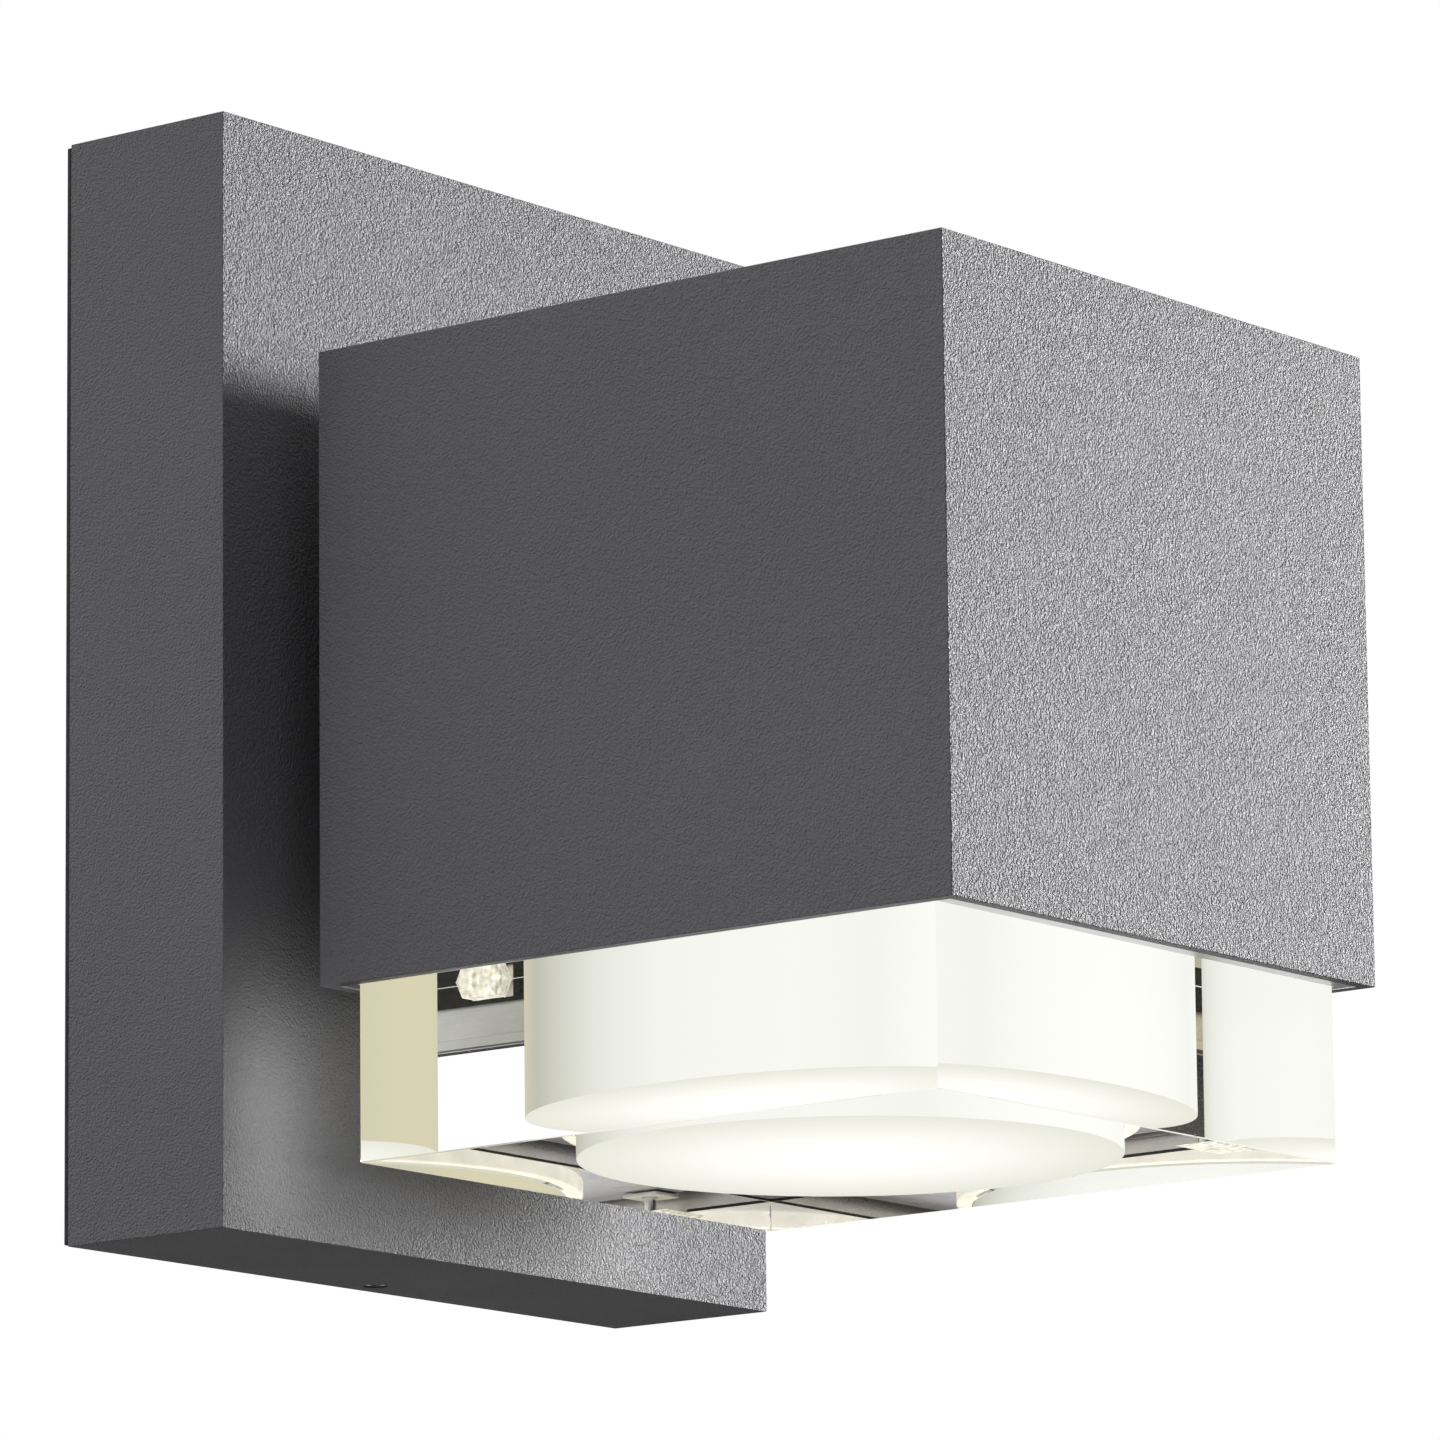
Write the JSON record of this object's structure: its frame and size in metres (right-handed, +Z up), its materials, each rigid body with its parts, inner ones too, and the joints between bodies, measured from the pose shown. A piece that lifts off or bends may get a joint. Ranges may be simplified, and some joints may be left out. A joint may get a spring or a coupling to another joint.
{
  "type": "outdoor wall lantern",
  "caption": "Square downlight head on a rectangular wall canopy, with a thick clear lens block that holds a frosted round recess under an LED.",
  "frame": {"origin": "on the wall plane, at the centre of the canopy's height and width, on the mounting bracket's back face", "axes": "+Z up, +Y into the wall, -Y out towards the viewer, +X to the viewer's right"},
  "size_m": [0.1536, 0.1855, 0.2],
  "materials": {
    "powder_coat": "matte",
    "zinc_steel": "satin",
    "stainless": "polished",
    "raw_aluminium": "satin",
    "earth_green": "satin",
    "black_rubber": "matte",
    "white_plastic": "matte",
    "grey_plastic": "satin",
    "circuit_board": "satin",
    "thermal_pad": "matte",
    "led_ceramic": "satin",
    "red_lead": "satin",
    "black_lead": "satin",
    "clear_acrylic": "polished"
  },
  "bodies": {
    "wall_bracket": {"mounting_bracket": "zinc_steel", "ground_screw": "earth_green"},
    "fixture": {"canopy": "powder_coat", "wall_gasket": "black_rubber", "driver_case": "white_plastic", "driver_cover": "white_plastic", "driver_board": "circuit_board", "terminal_block": "grey_plastic", "driver_screw_left": "zinc_steel", "driver_screw_right": "zinc_steel", "neck_gasket_rear": "black_rubber", "neck_spacer": "powder_coat", "neck_gasket_front": "black_rubber", "neck_screw_1": "zinc_steel", "neck_screw_2": "zinc_steel", "neck_screw_3": "zinc_steel", "neck_screw_4": "zinc_steel", "cable_grommet": "black_rubber", "lead_positive": "red_lead", "lead_negative": "black_lead", "head_housing": "powder_coat", "heat_sink": "raw_aluminium", "heat_sink_screw_1": "zinc_steel", "heat_sink_screw_2": "zinc_steel", "heat_sink_screw_3": "zinc_steel", "heat_sink_screw_4": "zinc_steel", "thermal_pad": "thermal_pad", "led_module": "led_ceramic", "led_holder": "white_plastic", "led_holder_screw_1": "zinc_steel", "led_holder_screw_2": "zinc_steel", "reflector": "white_plastic", "lens_carrier": "raw_aluminium", "lens_bond": "white_plastic", "lens_block": "clear_acrylic", "lens_gasket": "black_rubber", "lens_trim": "raw_aluminium", "lens_clip_1": "white_plastic", "lens_clip_2": "white_plastic", "lens_clip_3": "white_plastic", "lens_clip_4": "white_plastic", "lens_clip_screw_1": "stainless", "lens_clip_screw_2": "stainless", "lens_clip_screw_3": "stainless", "lens_clip_screw_4": "stainless"},
    "top_screw": {"canopy_screw_top": "stainless"},
    "bottom_screw": {"canopy_screw_bottom": "stainless"}
  },
  "joints": [
    {"name": "lift_off", "type": "slide", "parent": "wall_bracket", "child": "fixture", "axis": [0, -1, 0], "range_m": [0, 0.04]},
    {"name": "top_screw_travel", "type": "slide", "parent": "fixture", "child": "top_screw", "axis": [0, 0, 1], "range_m": [0, 0.0025]},
    {"name": "bottom_screw_travel", "type": "slide", "parent": "fixture", "child": "bottom_screw", "axis": [0, 0, -1], "range_m": [0, 0.0025]}
  ]
}
